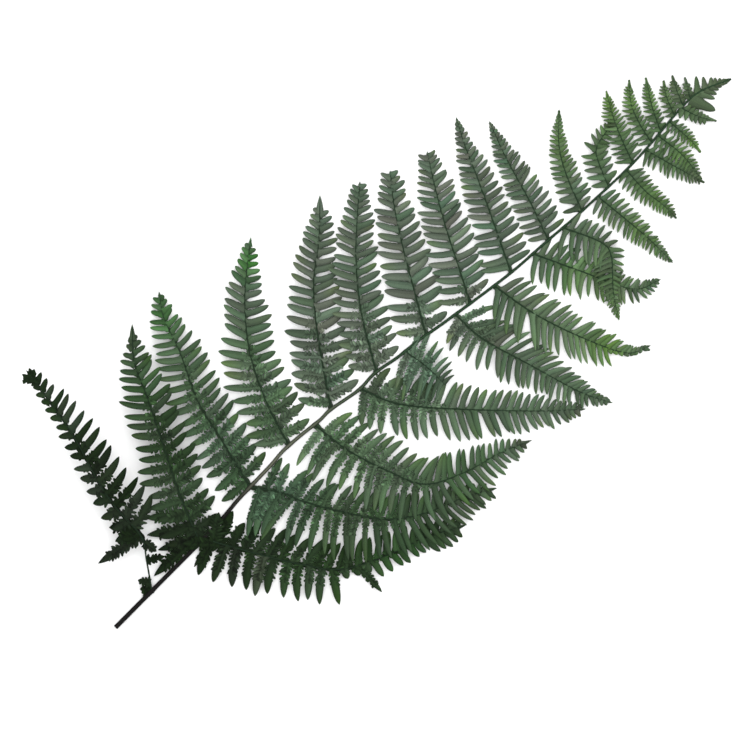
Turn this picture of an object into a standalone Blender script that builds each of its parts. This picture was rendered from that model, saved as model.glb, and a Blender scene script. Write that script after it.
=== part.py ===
"""A preserved fern frond, pressed almost flat and lying face up.

Units are metres, with +Z up. The frond lies on z = 0. +X runs along it from the cut end of the stipe to
the apex, and +Y is its left side, seen from above with the apex ahead. The origin is under the middle.
"""
import math
from bisect import bisect_right
from dataclasses import dataclass

import bmesh
import bpy
from mathutils import Vector

MM = 0.001

# Driving sizes
FROND_LENGTH = 500 * MM
STIPE_RADIUS = 1.5 * MM
APEX_RADIUS = 0.7 * MM
BLADE_THICKNESS = 0.7 * MM
RIB_RISE = 0.3 * MM
RIB_HALF_WIDTH = 0.9 * MM
PETIOLE_HALF_WIDTH = 0.6 * MM

# The middle of the frond's plan, measured from the cut end along and across the frond
PLAN_CENTRE = Vector((250.05 * MM, 25.4 * MM))

# How the pinnules sit on a pinna
PITCH_PER_LENGTH = 0.115
SHORTEST_PITCH = 4.8 * MM
LONGEST_PITCH = 10.6 * MM
FIRST_PINNULE_GAP = 0.25
LAST_PINNULE_SHARE = 0.985
LEAN_AT_BASE = 78
LEAN_FALL = 20
SHOULDER_REACH = 0.78
SHOULDER_INSET = 0.12
TIP_INSET = 0.30
TAPER_START_POWER = 2.4
TAPER_END_POWER = 0.8
INSIDE_BEND_REACH = 0.7
TUCKED_REACH = 0.3

# How a pinna lies: the edge nearer the stipe rides over the neighbour, and the other goes under
ROLL_SLOPE = 0.06
EDGE_SAG = 0.3 * MM
SAG_WIDTH = 12 * MM

# The rachis tube
RACHIS_SIDES = 6
RACHIS_STEP = 12 * MM
RACHIS_TAPER_POWER = 0.8
CURVE_STEPS = 12
HEADING_REACH = 2 * MM

# Places read by eye from the photograph, in its pixels, with y down
CUT_END = (115, 627)
APEX = (731, 79)
RACHIS_ROUTE = [
    CUT_END, (151, 590), (197, 543), (250, 485), (315, 422), (380, 370), (449, 317),
    (508, 275), (546, 242), (582, 211), (636, 160), (681, 108), (701, 91), APEX,
]


@dataclass
class Pinna:
    """One side branch: its route in photograph pixels, with sizes in millimetres and angles in degrees.

    stipe_side and apex_side are the longest pinnules on each side of it. bare is the share of it without
    pinnules, taper and blunt how soon and how little it tapers, tucked the stretch whose stipe-side
    pinnules fold under, and stipe_lean_fall how far the stipe-side lean drops from root to tip.
    """
    name: str
    route: list
    stipe_side: float
    apex_side: float
    bare: float = 0.02
    blunt: float = 0.0
    taper: float = TAPER_START_POWER
    stipe_lean: float = LEAN_AT_BASE
    apex_lean: float = LEAN_AT_BASE
    stipe_lean_fall: float = LEAN_FALL
    middle_height: float = 2.3
    tip_height: float = 0.7
    tucked: tuple = (1.0, 1.0)


LEFT_PINNAE = [
    Pinna("left_1", [(151, 590), (147, 560), (142, 536), (117, 507), (98, 478), (76, 437), (52, 402),
                     (28, 370)], 14, 21, bare=0.22, blunt=0.3, middle_height=15, tip_height=17),
    Pinna("left_2", [(196, 537), (181, 497), (165, 449), (146, 392), (135, 362), (133, 324)],
          19.5, 19, taper=1.7, middle_height=8, tip_height=11),
    Pinna("left_3", [(246, 483), (223, 442), (198, 401), (180, 352), (164, 318), (159, 291)],
          19.5, 19, middle_height=4, tip_height=1.5),
    Pinna("left_4", [(288, 444), (266, 401), (249, 353), (244, 305), (246, 270), (251, 237)],
          21.5, 20, stipe_lean=66, apex_lean=88),
    Pinna("left_5", [(330, 407), (322, 361), (315, 313), (313, 277), (317, 240), (320, 195)], 21, 18),
    Pinna("left_6", [(375, 370), (361, 311), (356, 260), (357, 222), (359, 186)], 17.5, 17, blunt=0.36),
    Pinna("left_7", [(424, 333), (413, 286), (403, 248), (394, 205), (389, 174)], 16.5, 17, blunt=0.4),
    Pinna("left_8", [(469, 301), (458, 265), (445, 225), (434, 183), (428, 154)], 16.5, 16.5, blunt=0.38),
    Pinna("left_9", [(511, 271), (495, 227), (478, 177), (467, 146), (456, 117)], 15.5, 15.5),
    Pinna("left_10", [(549, 240), (530, 202), (508, 162), (489, 121)], 13.5, 14),
    Pinna("left_11", [(582, 210), (567, 177), (559, 147), (559, 108)], 11.5, 10.5),
    Pinna("left_12", [(609, 187), (599, 164), (596, 150), (606, 135), (626, 107)], 10, 9),
    Pinna("left_13", [(630, 158), (620, 136), (612, 111), (606, 90)], 9.5, 9.5, middle_height=2.8),
    Pinna("left_14", [(651, 143), (640, 125), (632, 104), (630, 79)], 7.5, 6.5),
    Pinna("left_15", [(663, 132), (653, 107), (646, 77)], 6.5, 5.5),
    Pinna("left_16", [(674, 117), (667, 96), (664, 80)], 5, 4.5),
    Pinna("left_17", [(682, 106), (676, 89), (672, 75)], 4.5, 4),
    Pinna("left_18", [(691, 99), (688, 88), (685, 77)], 3.2, 3),
]

RIGHT_PINNAE = [
    Pinna("right_1", [(198, 534), (240, 549), (300, 564), (342, 569), (385, 556), (425, 538),
                      (466, 525)], 23.5, 20, blunt=0.2, tucked=(0.5, 0.76)),
    Pinna("right_2", [(250, 487), (293, 498), (335, 510), (385, 519), (425, 513), (465, 497),
                      (497, 488)], 31, 19.5, blunt=0.1, stipe_lean=112, stipe_lean_fall=62,
          middle_height=3.6),
    Pinna("right_3", [(315, 425), (348, 450), (386, 470), (425, 484), (465, 472), (500, 453),
                      (532, 440)], 28, 19.5, stipe_lean=84, middle_height=3.0),
    Pinna("right_4", [(405, 350), (428, 368), (445, 385)], 24, 20, blunt=0.3, apex_lean=104,
          middle_height=5, tip_height=5),
    Pinna("right_5", [(360, 386), (399, 404), (457, 408), (538, 410), (586, 409)], 20.5, 17, blunt=0.1),
    Pinna("right_6", [(455, 314), (483, 339), (530, 365), (580, 390), (613, 403)], 18.5, 22,
          apex_lean=64),
    Pinna("right_7", [(493, 286), (538, 316), (590, 341), (628, 352), (651, 345)], 22, 16.5,
          stipe_lean=60, apex_lean=70, tucked=(0.72, 0.95)),
    Pinna("right_8", [(534, 253), (580, 271), (633, 288), (661, 279)], 15, 13.5),
    Pinna("right_9", [(563, 228), (600, 242), (611, 256), (613, 290), (619, 321)], 20, 12, taper=1.3,
          middle_height=3.4),
    Pinna("right_10", [(598, 198), (631, 223), (652, 241), (674, 264)], 11, 11),
    Pinna("right_11", [(625, 171), (646, 191), (667, 205), (679, 212)], 9, 9),
    Pinna("right_12", [(646, 149), (670, 163), (705, 183)], 8, 8),
    Pinna("right_13", [(659, 134), (682, 155), (702, 180)], 7.5, 7.5),
    Pinna("right_14", [(670, 121), (690, 140), (701, 153)], 5.5, 5.5),
    Pinna("right_15", [(682, 108), (699, 116), (717, 121)], 5, 5),
    Pinna("right_16", [(691, 98), (703, 104), (715, 111)], 3.6, 3.6),
]

# Lone pinnules: their pinna, share along its costa, tip in pixels, width and rise of the tip in millimetres
STRAY_PINNULES = [
    ("left_1", 0.22, (99, 563), 9, 0),
    ("left_1", 0.19, (157, 551), 7, 0),
    ("left_1", 0.03, (139, 582), 5, 0),
    ("left_2", 0.03, (153, 576), 7, 0),
    ("right_1", 0.06, (183, 543), 9, 1.8),
    ("right_1", 0.58, (382, 592), 6, 0),
]

# The simple leaflets past the last divided pinnae
LEAFLET_PAIRS = 5
LEAFLETS_START = 0.962
LEAFLETS_END = 0.990
LONGEST_LEAFLET = 10 * MM
SHORTEST_LEAFLET = 4.5 * MM
LEAFLET_LEAN = 62
LEAFLET_WIDEST = 0.45
LEAFLET_WIDTH_SHARE = 0.34

FERN_GREEN = (0.085, 0.115, 0.070, 1.0)
FERN_ROUGHNESS = 0.62


def clear_scene():
    for old in list(bpy.data.objects):
        bpy.data.objects.remove(old, do_unlink=True)


def plan_point(pixel):
    """Turn a photograph pixel into metres along and across the frond."""
    axis = Vector((APEX[0] - CUT_END[0], CUT_END[1] - APEX[1]))
    scale = FROND_LENGTH / axis.length
    axis.normalize()
    offset = Vector((pixel[0] - CUT_END[0], CUT_END[1] - pixel[1])) * scale
    along = offset.dot(axis)
    across = offset.dot(Vector((-axis.y, axis.x)))
    return Vector((along, across)) - PLAN_CENTRE


def mix(start, end, share):
    return start + (end - start) * share


def turned(direction, degrees):
    """Turn a plan direction to the left by an angle."""
    angle = math.radians(degrees)
    cosine, sine = math.cos(angle), math.sin(angle)
    return Vector((direction.x * cosine - direction.y * sine, direction.x * sine + direction.y * cosine))


class Route:
    """A smooth plan curve through a few points, read by the distance along it."""

    def __init__(self, corners):
        before = corners[0] * 2 - corners[1]
        after = corners[-1] * 2 - corners[-2]
        padded = [before, *corners, after]
        self.points = []
        for previous, start, end, following in zip(padded, padded[1:], padded[2:], padded[3:]):
            for step in range(CURVE_STEPS):
                share = step / CURVE_STEPS
                self.points.append(self.between(previous, start, end, following, share))
        self.points.append(corners[-1])
        self.distances = [0.0]
        for here, ahead in zip(self.points, self.points[1:]):
            self.distances.append(self.distances[-1] + (ahead - here).length)
        self.length = self.distances[-1]

    @staticmethod
    def between(previous, start, end, following, share):
        """The Catmull-Rom curve from start to end."""
        start_pull = (end - previous) * 0.5
        end_pull = (following - start) * 0.5
        square, cube = share ** 2, share ** 3
        return (start * (2 * cube - 3 * square + 1) + start_pull * (cube - 2 * square + share)
                + end * (3 * square - 2 * cube) + end_pull * (cube - square))

    def point(self, distance):
        distance = min(max(distance, 0.0), self.length)
        index = min(bisect_right(self.distances, distance), len(self.points) - 1) - 1
        span = self.distances[index + 1] - self.distances[index]
        share = (distance - self.distances[index]) / span
        return mix(self.points[index], self.points[index + 1], share)

    def heading(self, distance):
        ahead, behind = self.point(distance + HEADING_REACH), self.point(distance - HEADING_REACH)
        return (ahead - behind).normalized()

    def bend(self, distance, reach):
        """How sharply the route turns left around a place, in radians a metre."""
        before = self.heading(distance - reach)
        after = self.heading(distance + reach)
        return math.atan2(before.cross(after), before.dot(after)) / (2 * reach)

    def nearest_distance(self, place):
        gaps = [(point - place).length for point in self.points]
        return self.distances[gaps.index(min(gaps))]


def rachis_radius(share):
    return mix(STIPE_RADIUS, APEX_RADIUS, share ** RACHIS_TAPER_POWER)


def mesh_object(name, vertices, faces):
    mesh = bpy.data.meshes.new(name)
    mesh.from_pydata([tuple(vertex) for vertex in vertices], [], faces)
    shape = bmesh.new()
    shape.from_mesh(mesh)
    bmesh.ops.recalc_face_normals(shape, faces=shape.faces)
    shape.to_mesh(mesh)
    shape.free()
    made = bpy.data.objects.new(name, mesh)
    bpy.context.scene.collection.objects.link(made)
    return made


def make_rachis(route):
    """The stipe and rachis: one tapering tube that lies on a flat underside."""
    count = round(route.length / RACHIS_STEP)
    rings = []
    for index in range(count + 1):
        distance = route.length * index / count
        radius = rachis_radius(index / count)
        centre = route.point(distance)
        left = turned(route.heading(distance), 90)
        middle_height = radius * math.cos(math.pi / RACHIS_SIDES)
        ring = []
        for side in range(RACHIS_SIDES):
            angle = 2 * math.pi * (side + 0.5) / RACHIS_SIDES - math.pi / 2
            place = centre + left * (radius * math.cos(angle))
            ring.append((place.x, place.y, max(middle_height + radius * math.sin(angle), 0.0)))
        rings.append(ring)
    vertices = [vertex for ring in rings for vertex in ring]
    faces = [list(range(RACHIS_SIDES)), [count * RACHIS_SIDES + side for side in range(RACHIS_SIDES)]]
    for index in range(count):
        low = index * RACHIS_SIDES
        for side in range(RACHIS_SIDES):
            beside = (side + 1) % RACHIS_SIDES
            faces.append([low + side, low + beside, low + RACHIS_SIDES + beside, low + RACHIS_SIDES + side])
    return mesh_object("fern_frond", vertices, faces)


class Blade:
    """A thin closed sheet: plan points with a top height, and triangles alike on both faces."""

    def __init__(self):
        self.tops = []
        self.triangles = []
        self.border = []

    def add(self, place, height):
        """Add a point, pressed up to lie on the ground where it would go under it."""
        self.tops.append((place.x, place.y, max(height, BLADE_THICKNESS)))
        return len(self.tops) - 1

    def build(self, name):
        count = len(self.tops)
        vertices = self.tops + [(x, y, z - BLADE_THICKNESS) for x, y, z in self.tops]
        faces = [list(corners) for corners in self.triangles]
        faces += [[corner + count for corner in reversed(corners)] for corners in self.triangles]
        faces += [[start, end, end + count, start + count] for start, end in self.border]
        return mesh_object(name, vertices, faces)


class PinnaForm:
    """Where everything on one pinna goes, by the distance along its costa."""

    def __init__(self, pinna, rachis, side):
        root = plan_point(pinna.route[0])
        station = rachis.nearest_distance(root)
        corners = [rachis.point(station)] + [plan_point(pixel) for pixel in pinna.route[1:]]
        self.pinna = pinna
        self.side = side
        self.route = Route(corners)
        self.length = self.route.length
        self.root_height = rachis_radius(station / rachis.length) + BLADE_THICKNESS / 2
        self.pitch = min(max(self.length * PITCH_PER_LENGTH, SHORTEST_PITCH), LONGEST_PITCH)

    def costa_height(self, share):
        middle = self.pinna.middle_height * MM
        tip = self.pinna.tip_height * MM
        pull = 2 * middle - (self.root_height + tip) / 2
        rest = 1 - share
        return rest ** 2 * self.root_height + 2 * share * rest * pull + share ** 2 * tip

    def height(self, share, across):
        """Top height of the blade: across is the distance to the left of the costa."""
        stipe_ward = across * self.side
        sag = EDGE_SAG * min(abs(across) / SAG_WIDTH, 1.0)
        return self.costa_height(share) + ROLL_SLOPE * stipe_ward - sag

    def reach(self, distance, hand):
        """Length of the pinnule on one hand of the costa: +1 is its left, -1 its right."""
        share = distance / self.length
        longest = self.pinna.stipe_side if hand == self.side else self.pinna.apex_side
        taper = max(1 - share ** self.pinna.taper, 0.0) ** TAPER_END_POWER
        reach = longest * MM * mix(taper, 1.0, self.pinna.blunt)
        folds_from, folds_to = self.pinna.tucked
        if hand == self.side and folds_from < share < folds_to:
            reach *= TUCKED_REACH
        bend = self.route.bend(distance, self.pitch) * hand
        if bend > 0:
            reach = min(reach, INSIDE_BEND_REACH / bend)
        return reach

    def lean(self, distance, hand):
        share = distance / self.length
        if hand == self.side:
            return self.pinna.stipe_lean - self.pinna.stipe_lean_fall * share
        return self.pinna.apex_lean - LEAN_FALL * share


def make_pinna(pinna, rachis, side):
    """One pinna: a blade cut to its rib between the pinnules, with its petiole in the rachis."""
    form = PinnaForm(pinna, rachis, side)
    route, length = form.route, form.length
    first = max(pinna.bare * length, form.root_height + FIRST_PINNULE_GAP * form.pitch)
    count = max(round((length - first) / form.pitch), 2)
    stations = [mix(first, length * LAST_PINNULE_SHARE, index / count) for index in range(count + 1)]
    blade = Blade()

    def rib_point(distance, across):
        share = distance / length
        place = route.point(distance) + turned(route.heading(distance), 90) * across
        rise = RIB_RISE if across == 0 else 0.0
        return blade.add(place, form.height(share, across) + rise)

    def rib_row(distance, half_width):
        return {0: rib_point(distance, 0.0), 1: rib_point(distance, half_width),
                -1: rib_point(distance, -half_width)}

    def join_rows(near, far):
        for hand in (1, -1):
            blade.triangles.append((near[0], near[hand], far[hand]))
            blade.triangles.append((near[0], far[hand], far[0]))

    bare_count = math.ceil(first / LONGEST_PITCH)
    petiole = [rib_row(first * index / bare_count, PETIOLE_HALF_WIDTH) for index in range(bare_count)]
    rows = []
    for distance in stations:
        half_width = mix(RIB_HALF_WIDTH, PETIOLE_HALF_WIDTH, distance / length)
        rows.append(rib_row(distance, half_width))
    for near, far in zip(petiole, petiole[1:] + rows[:1]):
        join_rows(near, far)
        blade.border += [(near[hand], far[hand]) for hand in (1, -1)]
    blade.border += [(petiole[0][0], petiole[0][hand]) for hand in (1, -1)]

    for index in range(count):
        near, far = rows[index], rows[index + 1]
        join_rows(near, far)
        start, end = stations[index], stations[index + 1]
        middle = (start + end) / 2
        width = end - start
        share = middle / length
        for hand in (1, -1):
            reach = form.reach(middle, hand)
            lean = form.lean(middle, hand)
            outward = turned(route.heading(middle), lean * hand)
            along = route.heading(middle)
            centre = route.point(middle)
            shoulder = centre + outward * (reach * SHOULDER_REACH) - along * (width * (0.5 - SHOULDER_INSET))
            tip = centre + outward * reach + along * (width * (0.5 - TIP_INSET))
            lateral = math.sin(math.radians(lean)) * hand
            corner = blade.add(shoulder, form.height(share, reach * SHOULDER_REACH * lateral))
            point = blade.add(tip, form.height(share, reach * lateral))
            blade.triangles.append((near[hand], corner, point))
            blade.triangles.append((near[hand], point, far[hand]))
            blade.border += [(near[hand], corner), (corner, point), (point, far[hand])]

    end_point = blade.add(route.point(length), form.costa_height(1.0))
    last = rows[-1]
    for hand in (1, -1):
        blade.triangles.append((last[0], last[hand], end_point))
        blade.border.append((last[hand], end_point))
    return blade.build(pinna.name)


def make_leaflet(name, root, tip, root_height, tip_height, width):
    """A simple leaflet: a pointed blade with a raised middle."""
    outward = tip - root
    beside = turned(outward.normalized(), 90) * (width / 2)
    widest = root + outward * LEAFLET_WIDEST
    height = mix(root_height, tip_height, LEAFLET_WIDEST)
    blade = Blade()
    near = blade.add(root, root_height)
    far = blade.add(tip, tip_height)
    left = blade.add(widest + beside, height)
    right = blade.add(widest - beside, height)
    middle = blade.add(widest, height + RIB_RISE)
    for start, end in ((near, right), (right, far), (far, left), (left, near)):
        blade.triangles.append((start, end, middle))
        blade.border.append((start, end))
    return blade.build(name)


def make_stray_pinnules(pinna, rachis, side):
    """The lone pinnules of a pinna, such as those along its petiole."""
    form = PinnaForm(pinna, rachis, side)
    made = []
    for owner, share, tip_pixel, width, rise in STRAY_PINNULES:
        if owner == pinna.name:
            root = form.route.point(share * form.length)
            height = form.costa_height(share)
            name = f"{owner}_stray_{len(made)}"
            tip_height = height + rise * MM
            made.append(make_leaflet(name, root, plan_point(tip_pixel), height, tip_height, width * MM))
    return made


def make_leaflets(rachis):
    made = []
    root_height = rachis_radius(1.0) + BLADE_THICKNESS / 2
    for index in range(LEAFLET_PAIRS):
        share = index / (LEAFLET_PAIRS - 1)
        station = rachis.length * mix(LEAFLETS_START, LEAFLETS_END, share)
        reach = mix(LONGEST_LEAFLET, SHORTEST_LEAFLET, share)
        root = rachis.point(station)
        for hand in (1, -1):
            tip = root + turned(rachis.heading(station), LEAFLET_LEAN * hand) * reach
            width = reach * LEAFLET_WIDTH_SHARE
            name = f"leaflet_{index}_{hand}"
            made.append(make_leaflet(name, root, tip, root_height, BLADE_THICKNESS, width))
    return made


def fuse(body, pieces):
    """Join the pieces to the body as one closed solid, then drop them."""
    group = bpy.data.collections.new("grown_pieces")
    bpy.context.scene.collection.children.link(group)
    for piece in pieces:
        bpy.context.scene.collection.objects.unlink(piece)
        group.objects.link(piece)
    union = body.modifiers.new("grown_together", "BOOLEAN")
    union.operation = "UNION"
    union.operand_type = "COLLECTION"
    union.collection = group
    union.solver = "MANIFOLD"
    bpy.context.view_layer.update()
    evaluated = body.evaluated_get(bpy.context.evaluated_depsgraph_get())
    fused = bpy.data.meshes.new_from_object(evaluated)
    body.modifiers.clear()
    body.data = fused
    for piece in pieces:
        bpy.data.objects.remove(piece, do_unlink=True)
    bpy.data.collections.remove(group)


def fern_material():
    material = bpy.data.materials.new("fern_green")
    material.use_nodes = True
    shader = material.node_tree.nodes["Principled BSDF"]
    shader.inputs["Base Color"].default_value = FERN_GREEN
    shader.inputs["Roughness"].default_value = FERN_ROUGHNESS
    shader.inputs["Metallic"].default_value = 0.0
    return material


def build_frond():
    rachis = Route([plan_point(pixel) for pixel in RACHIS_ROUTE])
    frond = make_rachis(rachis)
    pieces = make_leaflets(rachis)
    for side, pinnae in ((1, LEFT_PINNAE), (-1, RIGHT_PINNAE)):
        for pinna in pinnae:
            pieces.append(make_pinna(pinna, rachis, side))
            pieces += make_stray_pinnules(pinna, rachis, side)
    fuse(frond, pieces)
    frond.data.materials.clear()
    frond.data.materials.append(fern_material())


clear_scene()
build_frond()
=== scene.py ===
"""Looks of the preserved fern frond: fine pinnules, ribs, colour, floor, light and camera.

Units are metres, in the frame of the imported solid: +X from the cut end to the apex, +Y to its left, +Z up.
"""
import math
import random
from bisect import bisect_right
from dataclasses import dataclass

import bpy
import numpy as np
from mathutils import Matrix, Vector


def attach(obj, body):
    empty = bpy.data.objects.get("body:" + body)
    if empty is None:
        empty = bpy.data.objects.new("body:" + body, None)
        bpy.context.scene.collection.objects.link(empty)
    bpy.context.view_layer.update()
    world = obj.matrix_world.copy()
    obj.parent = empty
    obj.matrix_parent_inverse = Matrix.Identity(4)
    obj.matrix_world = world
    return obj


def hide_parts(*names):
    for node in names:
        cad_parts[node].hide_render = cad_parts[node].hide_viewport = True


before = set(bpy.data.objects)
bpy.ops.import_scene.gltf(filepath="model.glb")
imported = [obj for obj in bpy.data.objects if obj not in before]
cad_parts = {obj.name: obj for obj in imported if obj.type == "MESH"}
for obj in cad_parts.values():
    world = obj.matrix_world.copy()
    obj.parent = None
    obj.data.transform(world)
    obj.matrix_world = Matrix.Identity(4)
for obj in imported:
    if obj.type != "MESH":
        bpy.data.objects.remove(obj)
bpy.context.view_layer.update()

NODE = "fern_frond"
MM = 0.001

# The frame the solid was built in
FROND_LENGTH = 500 * MM
PLAN_CENTRE = Vector((250.05 * MM, 25.4 * MM))
SOLID_THICKNESS = 0.7 * MM
CUT_END = (115, 627)
APEX = (731, 79)
PHOTO_SIZE = 750
RACHIS_ROUTE = [
    (115.7, 627.3), (152, 590.7), (198, 544.5), (221, 520), (237, 501), (251, 486), (271, 465), (283, 451),
    (300, 436), (320, 420), (330, 410), (349, 397), (361, 388), (375, 373), (398, 357), (418, 341),
    (449, 319), (508, 275), (546, 242), (582, 211), (636, 160), (681, 108), (701, 91), APEX,
]

# Stalk and ribs
STIPE_RADIUS = 1.45 * MM
APEX_RADIUS = 0.6 * MM
RACHIS_TAPER_POWER = 0.8
RACHIS_SIDES = 18
RACHIS_RINGS = 260
GROOVE_DEPTH = 0.22
GROOVE_WIDTH = 0.45
JOINT_SWELL = 0.16
JOINT_WIDTH = 2.5 * MM
COSTA_RADIUS = 0.55 * MM
COSTA_TIP_RADIUS = 0.22 * MM
COSTA_END = 0.985
LONG_PINNA = 90 * MM
SHORT_PINNA_COSTA = 0.5
COSTA_SIDES = 8
COSTA_STEP = 1.6 * MM
LEAST_COSTA_RINGS = 8

# How the pinnules sit on a pinna
PINNA_SEED = 100
CROWDING = 0.32
STATION_SPREAD = 0.05
PITCH_SPREAD = 0.05
FIRST_PINNULE_GAP = 0.05
LAST_PINNULE_SHARE = 0.975
TIP_OVERLAP = 0.3
TIP_WIDTH_SHARE = 0.19
TIP_WEB = 0.55
TIP_WEB_FROM = 0.82
TIP_SHARPNESS = 1.15
LEAN_AT_BASE = 78
LEAN_FALL = 20
LEAN_SPREAD = 3.5
BOW = 18
BOW_SPREAD = 8
LENGTH_SPREAD = 0.06
TAPER = (2.4, 0.8)
INSIDE_BEND_REACH = 0.9
HAND_OFFSET = 0.22

# How a pinna lies: the edge nearer the stipe rides over the neighbour, and the other goes under
ROLL_SLOPE = 0.06
EDGE_SAG = 0.3 * MM
SAG_WIDTH = 12 * MM

# One pinnule's form
BLADE_THICKNESS = 0.28 * MM
BLADE_WIDTH_SHARE = 0.395
BLADE_WIDENING = 0.04
LEAST_BLADE_WIDTH = 0.03
# How late and how fast a blade narrows to its tip
BLUNT_TIP = (5.0, 0.6)
POINTED_TIP = (2.3, 0.92)
ROOT_FLARE = 0.55
ROOT_FLARE_LENGTH = 1.5 * MM
VEIN_GROOVE = 0.16 * MM
VEIN_WIDTH = 0.16
CROWN = 0.30 * MM
CROWN_POWER = 2.4
TWIST_SPREAD = 9
LIFT_SPREAD = 0.35 * MM
# Painted shade: each pinnule is darker towards its root, where the pinnules crowd by the costa; how much, and
# over what share of its length
PINNULE_ROOT_PAINTED_SHADE = 0.15
ROOT_PAINTED_SHADE_REACH = 0.55
COSTA_RISE = CROWN * 0.1

# The band of tissue that a pinna's pinnules spring from
WEB_WIDTH = 1.7 * MM
WEB_WIDTH_AT_TIP = 0.4
WEB_WIDTH_SPREAD = 0.25
WEB_STEP = 1.5 * MM
LEAST_WEB_ROWS = 8
WEB_BEFORE_PINNULES = 0.03
WEB_SINK = CROWN * 0.7
WEB_MARKINGS = 0.8
WEB_COLOUR_FROM = 0.4
# Painted shade: the web, low between the pinnules, is coloured this much darker
WEB_PAINTED_SHADE = 0.62

# The lobes along a pinnule's inner part
LOBED_STRETCH = 0.66
LOBED_FADE = 2.4
LOBED_WAIST = 0.70
WAIST_FADE = 0.18
LOBE_PITCH = 1.9 * MM
LOBE_HALF_WIDTH = LOBE_PITCH * 0.56
LOBE_WIDENING = 0.2
LOBE_ROUNDNESS = 3.5
LEAST_LOBE_WIDTH = 0.05
LOBE_REACH_AT_COSTA = 0.62
LOBE_REACH_AT_END = 0.47
LOBE_REACH_SPREAD = 0.09
LOBE_START = 0.2
LOBE_STAGGER = 0.3
LOBE_LEAN = 66
LOBE_LEAN_SPREAD = 9
LOBE_BOW = 12
LOBE_TWIST_SPREAD = 8
LOBE_LIFT_SPREAD = 0.22 * MM
LOBE_CROWN = CROWN * 1.2
# Painted shade: each lobe is darker towards its root, between the crowded lobes
LOBE_ROOT_PAINTED_SHADE = 0.6
LOBE_LIGHTNESS = 0.06
LOBE_LIGHTNESS_SPREAD = 0.30

# Lone pinnules and the leaflets of the apex
STRAY_SHARPNESS = 0.6
STRAY_LOBED_TO = 0.75
LEAFLET_SEED = 90
LEAFLET_TWIST_SPREAD = 5
LEAFLET_LIFT = -0.2 * MM
LEAFLET_WEB = 0.4
LEAFLET_SHARPNESS = 0.3

# The points across a blade and along it
FINE_COLUMNS = np.array([-1.0, -0.72, -0.42, -0.16, 0.0, 0.16, 0.42, 0.72, 1.0])
COARSE_COLUMNS = np.array([-1.0, -0.55, 0.0, 0.55, 1.0])
WEB_COLUMNS = np.array([-1.0, -0.5, 0.0, 0.5, 1.0])
PLAIN_ROWS = 15
LEAST_ROWS = 7
LONG_BLADE = 12 * MM
LOBE_ROWS = 6
ROOT_ROW_STEP = 1.5
# The quads that close a blade's end, as its top points t and its under points u
FINE_CAP = ["u0 t0 t1 t2", "u0 t2 t3 u1", "u1 t3 t4 t5", "u1 t5 t6 u2", "u2 t6 t7 t8"]
COARSE_CAP = ["u0 t0 t1 u1", "u1 t1 t2 t3", "u1 t3 t4 u2"]
UNDER_COLUMNS = 3
SHARP_EDGE_ANGLE = 50

# Steps between two points of a route, and how far each way its heading is read
CURVE_STEPS = 16
HEADING_REACH = 2 * MM


@dataclass
class Pinna:
    """One side branch: its route in photograph pixels, with sizes in millimetres and angles in degrees.

    pairs is the number of its pinnules on each side, and stipe_side and apex_side are the longest of them.
    bare is the share of it without pinnules, the tapers how late and how fast each side narrows, blunt how
    little, tucked the stretches whose stipe-side pinnules fold under and how much shows, stipe_lean_fall
    how far the stipe-side lean drops from root to tip, lobed the share of it whose pinnules have lobes
    along their inner part, webbed the share of a pinnule that is joined to its neighbours, sharp how
    pointed it ends, slim its width against the usual, and tip the share of the pinna that is one
    undivided blade at its end.
    """
    name: str
    route: list
    pairs: int
    stipe_side: float
    apex_side: float
    bare: float = 0.02
    blunt: float = 0.0
    stipe_taper: tuple = TAPER
    apex_taper: tuple = TAPER
    stipe_lean: float = LEAN_AT_BASE
    apex_lean: float = LEAN_AT_BASE
    stipe_lean_fall: float = LEAN_FALL
    middle_height: float = 2.3
    tip_height: float = 0.7
    tucked: tuple = ()
    lobed: float = 0.0
    webbed: float = 0.0
    sharp: float = 0.5
    slim: float = 1.0
    tip: float = 0.045


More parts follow.
